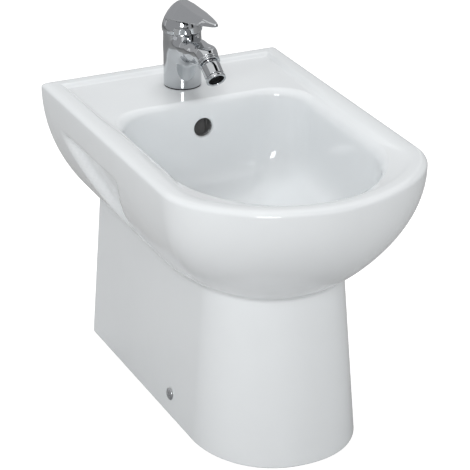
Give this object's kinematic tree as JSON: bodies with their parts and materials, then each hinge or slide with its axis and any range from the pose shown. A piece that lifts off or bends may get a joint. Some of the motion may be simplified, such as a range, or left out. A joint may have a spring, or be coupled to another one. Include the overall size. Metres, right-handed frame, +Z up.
{
  "type": "floor standing bidet",
  "caption": "Back-to-wall floor standing bidet in glazed ceramic with a single-lever mixer, jointed nozzle, pop-up waste and bottle trap.",
  "frame": {"origin": "on the floor, midway between the wall face and the front of the rim, on the plane of symmetry", "axes": "+X across, +Y to the wall, +Z up"},
  "size_m": [0.36, 0.56, 0.517],
  "materials": {
    "glaze": "gloss",
    "chrome": "polished",
    "brass": "machined",
    "steel": "plain",
    "rubber": "matte",
    "white_plastic": "satin",
    "grey_plastic": "satin",
    "disc_ceramic": "lapped"
  },
  "bodies": {
    "root": {"ceramic_body": "glaze", "side_caps": "chrome", "side_screws": "steel", "side_sleeves": "white_plastic", "floor_brackets": "white_plastic", "mixer_body": "chrome", "base_gasket": "rubber", "mounting_stud": "steel", "clamp_rubber": "rubber", "clamp_washer": "steel", "stud_nut": "brass", "cartridge_housing": "grey_plastic", "cartridge_seals": "rubber", "fixed_disc": "disc_ceramic", "cartridge_nut": "brass", "dome_cap": "chrome", "index_plug": "grey_plastic", "spout_collar": "chrome", "rod_bush": "white_plastic", "waste_flange": "chrome", "waste_gasket_top": "rubber", "waste_gasket_bottom": "rubber", "waste_washer": "white_plastic", "waste_backnut": "brass", "waste_tail": "brass", "ball_seal": "rubber", "ball_nut": "white_plastic", "trap_inlet_nut": "white_plastic", "trap_inlet_washer": "rubber", "trap_body": "white_plastic", "trap_dip_tube": "white_plastic", "trap_cup_seal": "rubber", "trap_cup": "white_plastic", "outlet_nut": "white_plastic", "outlet_washer": "rubber", "outlet_pipe": "white_plastic"},
    "lever_turn": {"cartridge_rotor": "white_plastic", "stem_pin": "steel"},
    "lever": {"lever": "chrome", "lever_stem": "brass", "lever_screw": "steel"},
    "disc": {"moving_disc": "disc_ceramic", "disc_carrier": "white_plastic"},
    "nozzle_seat": {"ball_seat": "grey_plastic"},
    "nozzle": {"nozzle_ball": "chrome", "aerator_housing": "chrome", "aerator_insert": "rubber", "aerator_seal": "rubber"},
    "lift_rod": {"lift_rod": "chrome", "lift_knob": "chrome", "link_strap": "steel", "strap_screw": "brass"},
    "ball_rod": {"ball_rod": "steel", "pivot_ball": "white_plastic"},
    "stopper": {"stopper_cap": "chrome", "stopper_seal": "rubber", "stopper_stem": "brass"}
  },
  "joints": [
    {"name": "lever_swivel", "type": "hinge", "parent": "root", "child": "lever_turn", "pos_m": [0, 0.2015, 0.465], "axis": [0, 0, 1], "range_deg": [-45, 45]},
    {"name": "lever_tilt", "type": "hinge", "parent": "lever_turn", "child": "lever", "pos_m": [0, 0.2015, 0.465], "axis": [-1, 0, 0], "range_deg": [0, 22]},
    {"name": "disc_slide", "type": "slide", "parent": "lever_turn", "child": "disc", "axis": [0, -1, 0], "range_m": [0, 0.00257]},
    {"name": "nozzle_spin", "type": "hinge", "parent": "root", "child": "nozzle_seat", "pos_m": [0, 0.11544, 0.45755], "axis": [0, -0.809, -0.5878], "continuous": true},
    {"name": "nozzle_tilt", "type": "hinge", "parent": "nozzle_seat", "child": "nozzle", "pos_m": [0, 0.11544, 0.45755], "axis": [1, 0, 0], "range_deg": [-12, 12]},
    {"name": "rod_lift", "type": "slide", "parent": "root", "child": "lift_rod", "axis": [0, 0.4067, 0.9135], "range_m": [0, 0.034]},
    {"name": "ball_rod_swing", "type": "hinge", "parent": "root", "child": "ball_rod", "pos_m": [0, 0.064, 0.166], "axis": [1, 0, 0], "range_deg": [0, 14.57]},
    {"name": "stopper_drop", "type": "slide", "parent": "root", "child": "stopper", "axis": [0, 0, -1], "range_m": [0, 0.0092]}
  ],
  "couplings": [
    {"joint": "disc_slide", "follows": "lever_tilt", "m_per_rad": 0.006439},
    {"joint": "ball_rod_swing", "follows": "rod_lift", "rad_per_m": 7.4526},
    {"joint": "stopper_drop", "follows": "rod_lift", "ratio": 0.26917}
  ]
}
